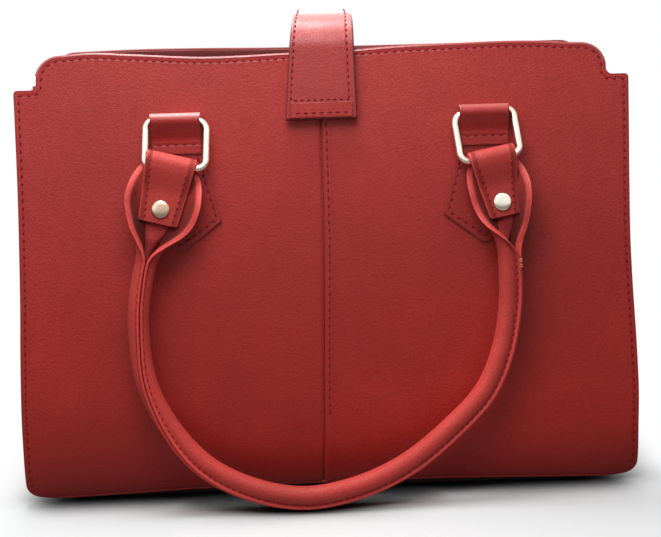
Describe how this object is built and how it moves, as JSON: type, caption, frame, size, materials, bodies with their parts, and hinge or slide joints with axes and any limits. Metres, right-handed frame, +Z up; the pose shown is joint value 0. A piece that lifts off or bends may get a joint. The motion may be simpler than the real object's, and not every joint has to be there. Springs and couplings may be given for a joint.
{
  "type": "tote bag",
  "caption": "Free-standing leather tote bag with two carrying handles on metal rings and a magnetic closing strap over its open top.",
  "frame": {"origin": "on the floor under the middle of the bag", "axes": "+Z up, -Y out of the front face, +X to the right of someone who faces the front"},
  "size_m": [0.38, 0.1864, 0.3024],
  "materials": {
    "red_leather": "satin",
    "red_leather_inside": "matt",
    "lining_cloth": "matt",
    "base_board": "matt",
    "handle_core": "matt",
    "pale_gold_metal": "polished",
    "magnet_metal": "polished"
  },
  "bodies": {
    "bag": {"front_panel_left": "red_leather", "front_panel_right": "red_leather", "front_facing": "red_leather_inside", "front_bottom_piping": "red_leather", "front_tab_left": "red_leather", "front_tab_right": "red_leather", "back_panel_left": "red_leather", "back_panel_right": "red_leather", "back_facing": "red_leather_inside", "back_bottom_piping": "red_leather", "back_tab_left": "red_leather", "back_tab_right": "red_leather", "gusset_left": "red_leather", "gusset_right": "red_leather", "base_panel": "red_leather_inside", "base_board": "base_board", "lining": "lining_cloth", "panel_magnet": "magnet_metal", "strap_anchor": "red_leather"},
    "front_left_ring": {"front_ring_left": "pale_gold_metal"},
    "front_right_ring": {"front_ring_right": "pale_gold_metal"},
    "back_left_ring": {"back_ring_left": "pale_gold_metal"},
    "back_right_ring": {"back_ring_right": "pale_gold_metal"},
    "front_carry_handle": {"front_handle_cover": "red_leather", "front_handle_core": "handle_core", "front_handle_rivet_left": "pale_gold_metal", "front_handle_rivet_right": "pale_gold_metal"},
    "back_carry_handle": {"back_handle_cover": "red_leather", "back_handle_core": "handle_core", "back_handle_rivet_left": "pale_gold_metal", "back_handle_rivet_right": "pale_gold_metal"},
    "strap": {"strap_outer": "red_leather", "strap_lining": "red_leather_inside"},
    "strap_tongue": {"strap_tongue_outer": "red_leather", "strap_tongue_lining": "red_leather_inside", "strap_end_band": "red_leather", "strap_magnet": "magnet_metal"}
  },
  "joints": [
    {"name": "front_ring_left_swing", "type": "hinge", "parent": "bag", "child": "front_left_ring", "pos_m": [-0.0915, -0.04096, 0.23747], "axis": [-1, 0, 0], "range_deg": [0, 165]},
    {"name": "front_ring_right_swing", "type": "hinge", "parent": "bag", "child": "front_right_ring", "pos_m": [0.0985, -0.04096, 0.23747], "axis": [-1, 0, 0], "range_deg": [0, 165]},
    {"name": "front_handle_swing", "type": "hinge", "parent": "front_left_ring", "child": "front_carry_handle", "pos_m": [0, -0.04953, 0.20956], "axis": [1, 0, 0], "range_deg": [-100, 0]},
    {"name": "back_ring_right_swing", "type": "hinge", "parent": "bag", "child": "back_right_ring", "pos_m": [0.0915, 0.04096, 0.23747], "axis": [1, 0, 0], "range_deg": [0, 165]},
    {"name": "back_ring_left_swing", "type": "hinge", "parent": "bag", "child": "back_left_ring", "pos_m": [-0.0985, 0.04096, 0.23747], "axis": [1, 0, 0], "range_deg": [0, 165]},
    {"name": "back_handle_swing", "type": "hinge", "parent": "back_right_ring", "child": "back_carry_handle", "pos_m": [0, 0.04953, 0.20956], "axis": [-1, 0, 0], "range_deg": [-100, 0]},
    {"name": "strap_open", "type": "hinge", "parent": "bag", "child": "strap", "pos_m": [0, 0.03109, 0.27816], "axis": [-1, 0, 0], "range_deg": [0, 95]},
    {"name": "strap_tongue_lift", "type": "hinge", "parent": "strap", "child": "strap_tongue", "pos_m": [0, -0.03534, 0.2788], "axis": [-1, 0, 0], "range_deg": [0, 75]}
  ],
  "couplings": [
    {"joint": "front_ring_right_swing", "follows": "front_ring_left_swing", "ratio": 1},
    {"joint": "back_ring_left_swing", "follows": "back_ring_right_swing", "ratio": 1}
  ]
}
